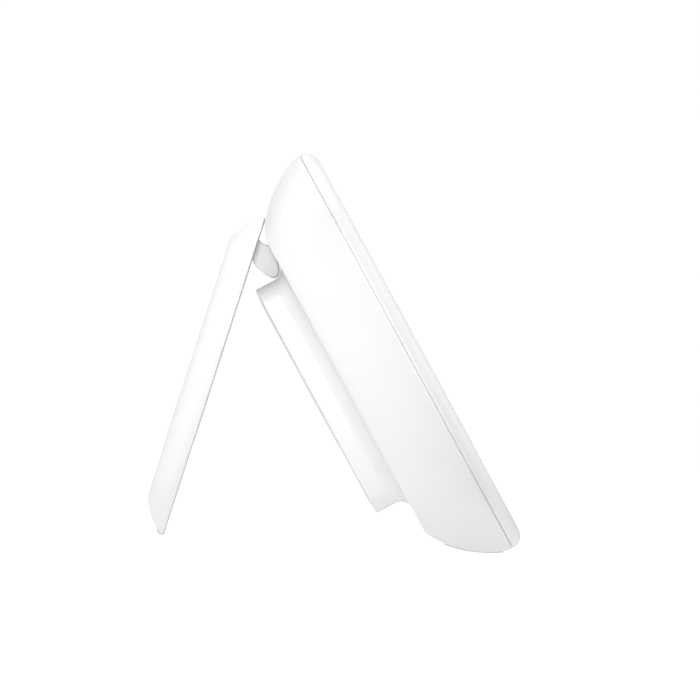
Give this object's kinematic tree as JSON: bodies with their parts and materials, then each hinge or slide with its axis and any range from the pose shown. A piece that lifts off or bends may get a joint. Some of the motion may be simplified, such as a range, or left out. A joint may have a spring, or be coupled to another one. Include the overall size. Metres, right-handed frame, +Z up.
{
  "type": "digital photo frame",
  "caption": "Tabletop digital photo frame: leaning rounded white case with a wide screen, a raised block on its back and a hinged shell stand.",
  "frame": {"origin": "on the table, under the centre of the bounding box of the frame standing with its stand open", "axes": "+Z up, the screen faces -Y and leans back towards +Y, +X is the viewer's right"},
  "size_m": [0.212, 0.1242, 0.1288],
  "materials": {
    "white_shell": "fine satin moulded white plastic",
    "hinge_arm": "satin moulded white plastic",
    "button_cap": "satin moulded white plastic",
    "soft_foot": "soft light grey rubber",
    "window_glass": "polished cover glass",
    "gasket_foam": "black foam",
    "panel_glass": "dark polarised panel",
    "aluminium_sheet": "rolled sheet",
    "ribbon_film": "amber polyimide film",
    "screw_steel": "blackened steel",
    "circuit_board": "green solder mask",
    "plated_steel": "bright plated sheet",
    "hinge_steel": "zinc plated",
    "black_plastic": "moulded black plastic"
  },
  "bodies": {
    "frame_body": {"rear_housing": "white_shell", "front_bezel": "white_shell", "screen_window": "window_glass", "window_gasket": "gasket_foam", "lcd_panel": "panel_glass", "backlight_unit": "aluminium_sheet", "chassis": "aluminium_sheet", "display_ribbon": "ribbon_film", "chassis_screw_1": "screw_steel", "chassis_screw_2": "screw_steel", "chassis_screw_3": "screw_steel", "chassis_screw_4": "screw_steel", "housing_screw_1": "screw_steel", "housing_screw_2": "screw_steel", "housing_screw_3": "screw_steel", "housing_screw_4": "screw_steel", "main_board": "circuit_board", "processor_shield": "plated_steel", "wifi_module": "plated_steel", "ribbon_connector": "black_plastic", "power_jack": "black_plastic", "usb_port": "plated_steel", "card_socket": "plated_steel", "board_screw_1": "screw_steel", "board_screw_2": "screw_steel", "board_screw_3": "screw_steel", "board_screw_4": "screw_steel", "speaker_left": "black_plastic", "speaker_right": "black_plastic", "button_board": "circuit_board", "button_board_screw_1": "screw_steel", "button_board_screw_2": "screw_steel", "power_switch": "black_plastic", "menu_switch": "black_plastic", "previous_switch": "black_plastic", "next_switch": "black_plastic", "back_switch": "black_plastic", "hinge_bracket": "hinge_steel", "hinge_pin": "hinge_steel", "hinge_screw_1": "screw_steel", "hinge_screw_2": "screw_steel", "wave_washer_left": "hinge_steel", "wave_washer_right": "hinge_steel", "foot_left": "soft_foot", "foot_right": "soft_foot"},
    "stand": {"stand_cover": "white_shell", "hinge_arm": "hinge_arm", "arm_screw_left": "screw_steel", "arm_screw_right": "screw_steel", "stand_foot": "soft_foot"},
    "power_key": {"power_button": "button_cap"},
    "menu_key": {"menu_button": "button_cap"},
    "previous_key": {"previous_button": "button_cap"},
    "next_key": {"next_button": "button_cap"},
    "back_key": {"back_button": "button_cap"}
  },
  "joints": [
    {"name": "stand_hinge", "type": "hinge", "parent": "frame_body", "child": "stand", "pos_m": [0, 0.01871, 0.09843], "axis": [-1, 0, 0], "range_deg": [0, 46.3]},
    {"name": "power_press", "type": "slide", "parent": "frame_body", "child": "power_key", "axis": [0, -0.8526, 0.5225], "range_m": [0, 0.0005], "stiffness_N_per_m": 400},
    {"name": "menu_press", "type": "slide", "parent": "frame_body", "child": "menu_key", "axis": [0, -0.8526, 0.5225], "range_m": [0, 0.0005], "stiffness_N_per_m": 400},
    {"name": "previous_press", "type": "slide", "parent": "frame_body", "child": "previous_key", "axis": [0, -0.8526, 0.5225], "range_m": [0, 0.0005], "stiffness_N_per_m": 400},
    {"name": "next_press", "type": "slide", "parent": "frame_body", "child": "next_key", "axis": [0, -0.8526, 0.5225], "range_m": [0, 0.0005], "stiffness_N_per_m": 400},
    {"name": "back_press", "type": "slide", "parent": "frame_body", "child": "back_key", "axis": [0, -0.8526, 0.5225], "range_m": [0, 0.0005], "stiffness_N_per_m": 400}
  ]
}
